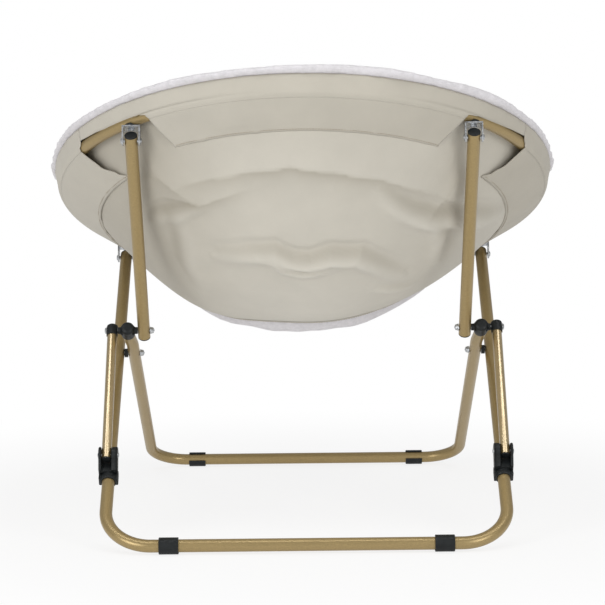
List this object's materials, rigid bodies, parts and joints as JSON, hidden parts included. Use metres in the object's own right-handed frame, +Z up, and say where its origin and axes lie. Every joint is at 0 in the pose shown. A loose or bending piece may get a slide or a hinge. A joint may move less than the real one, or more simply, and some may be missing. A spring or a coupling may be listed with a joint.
{
  "type": "folding saucer chair",
  "caption": "Folding saucer chair: plush pad in a canvas bowl on a tubular ring, held by crossing U-shaped legs with back posts and sliding struts.",
  "frame": {"origin": "on the floor, under the middle of the open chair's box", "axes": "+Z up, -Y towards the front of the seat, +X to the sitter's left"},
  "size_m": [0.806, 0.784, 0.7128],
  "materials": {
    "gold_tube": "champagne gold metallic paint",
    "black_plastic": "fine grained black plastic",
    "zinc": "bright zinc plate",
    "canvas": "plain woven beige canvas",
    "plush": "off-white plush pile"
  },
  "bodies": {
    "back_frame": {"rear_leg_tube": "gold_tube", "leg_top_plug_left": "black_plastic", "crossing_bolt_left": "zinc", "crossing_spacer_left": "black_plastic", "leg_top_plug_right": "black_plastic", "crossing_bolt_right": "zinc", "crossing_spacer_right": "black_plastic", "foot_clip_rear_left": "black_plastic", "foot_clip_rear_right": "black_plastic"},
    "front_frame": {"front_leg_tube": "gold_tube", "knuckle_cap_left": "black_plastic", "knuckle_bolt_left": "zinc", "knuckle_cap_right": "black_plastic", "knuckle_bolt_right": "zinc", "foot_clip_front_left": "black_plastic", "foot_clip_front_right": "black_plastic"},
    "seat": {"seat_ring_tube": "gold_tube", "seat_bracket_rear_left": "zinc", "bracket_pin_rear_left": "zinc", "ring_saddle_rear_left": "black_plastic", "ring_bolt_rear_left": "zinc", "seat_bracket_front_left": "zinc", "bracket_pin_front_left": "zinc", "ring_saddle_front_left": "black_plastic", "ring_bolt_front_left": "zinc", "seat_bracket_rear_right": "zinc", "bracket_pin_rear_right": "zinc", "ring_saddle_rear_right": "black_plastic", "ring_bolt_rear_right": "zinc", "seat_bracket_front_right": "zinc", "bracket_pin_front_right": "zinc", "ring_saddle_front_right": "black_plastic", "ring_bolt_front_right": "zinc", "seat_canvas_pan": "canvas", "seat_pad": "plush", "ring_sleeve_rear": "canvas", "ring_sleeve_left": "canvas", "ring_sleeve_right": "canvas", "ring_sleeve_front": "canvas"},
    "back_post_left": {"back_post_tube_left": "gold_tube", "post_foot_plug_left": "black_plastic", "post_top_plug_left": "black_plastic", "post_bolt_left": "zinc"},
    "slider_left": {"slider_collar_left": "black_plastic", "slider_pin_left": "zinc"},
    "strut_left": {"strut_tube_left": "gold_tube", "strut_foot_plug_left": "black_plastic", "strut_cap_left": "black_plastic", "strut_bolt_left": "zinc"},
    "back_post_right": {"back_post_tube_right": "gold_tube", "post_foot_plug_right": "black_plastic", "post_top_plug_right": "black_plastic", "post_bolt_right": "zinc"},
    "slider_right": {"slider_collar_right": "black_plastic", "slider_pin_right": "zinc"},
    "strut_right": {"strut_tube_right": "gold_tube", "strut_foot_plug_right": "black_plastic", "strut_cap_right": "black_plastic", "strut_bolt_right": "zinc"}
  },
  "joints": [
    {"name": "leg_fold", "type": "hinge", "parent": "back_frame", "child": "front_frame", "pos_m": [0, 0.03112, 0.25534], "axis": [1, 0, 0], "range_deg": [0, 100]},
    {"name": "seat_tilt", "type": "hinge", "parent": "back_frame", "child": "seat", "pos_m": [0, -0.15948, 0.39281], "axis": [1, 0, 0], "range_deg": [-40.05, 0], "deforming": ["seat_pad", "seat_canvas_pan", "ring_sleeve_rear", "ring_sleeve_left", "ring_sleeve_right", "ring_sleeve_front"]},
    {"name": "post_fold_left", "type": "hinge", "parent": "seat", "child": "back_post_left", "pos_m": [0.251, 0.30252, 0.60141], "axis": [1, 0, 0], "range_deg": [-27.46, 0]},
    {"name": "collar_slide_left", "type": "slide", "parent": "back_frame", "child": "slider_left", "axis": [0, -0.8111, 0.585], "range_m": [0, 0.11235]},
    {"name": "strut_fold_left", "type": "hinge", "parent": "slider_left", "child": "strut_left", "pos_m": [0.3005, 0.24996, 0.12711], "axis": [1, 0, 0], "range_deg": [0, 15.3]},
    {"name": "post_fold_right", "type": "hinge", "parent": "seat", "child": "back_post_right", "pos_m": [-0.251, 0.30252, 0.60141], "axis": [1, 0, 0], "range_deg": [-27.46, 0]},
    {"name": "collar_slide_right", "type": "slide", "parent": "back_frame", "child": "slider_right", "axis": [0, -0.8111, 0.585], "range_m": [0, 0.11235]},
    {"name": "strut_fold_right", "type": "hinge", "parent": "slider_right", "child": "strut_right", "pos_m": [-0.3005, 0.24996, 0.12711], "axis": [1, 0, 0], "range_deg": [0, 15.3]}
  ],
  "couplings": [
    {"joint": "seat_tilt", "follows": "leg_fold", "ratio": -0.40043},
    {"joint": "post_fold_left", "follows": "leg_fold", "ratio": -0.27448},
    {"joint": "collar_slide_left", "follows": "leg_fold", "m_per_rad": 0.064366},
    {"joint": "strut_fold_left", "follows": "leg_fold", "ratio": 0.15286},
    {"joint": "post_fold_right", "follows": "leg_fold", "ratio": -0.27448},
    {"joint": "collar_slide_right", "follows": "leg_fold", "m_per_rad": 0.064366},
    {"joint": "strut_fold_right", "follows": "leg_fold", "ratio": 0.15286}
  ]
}
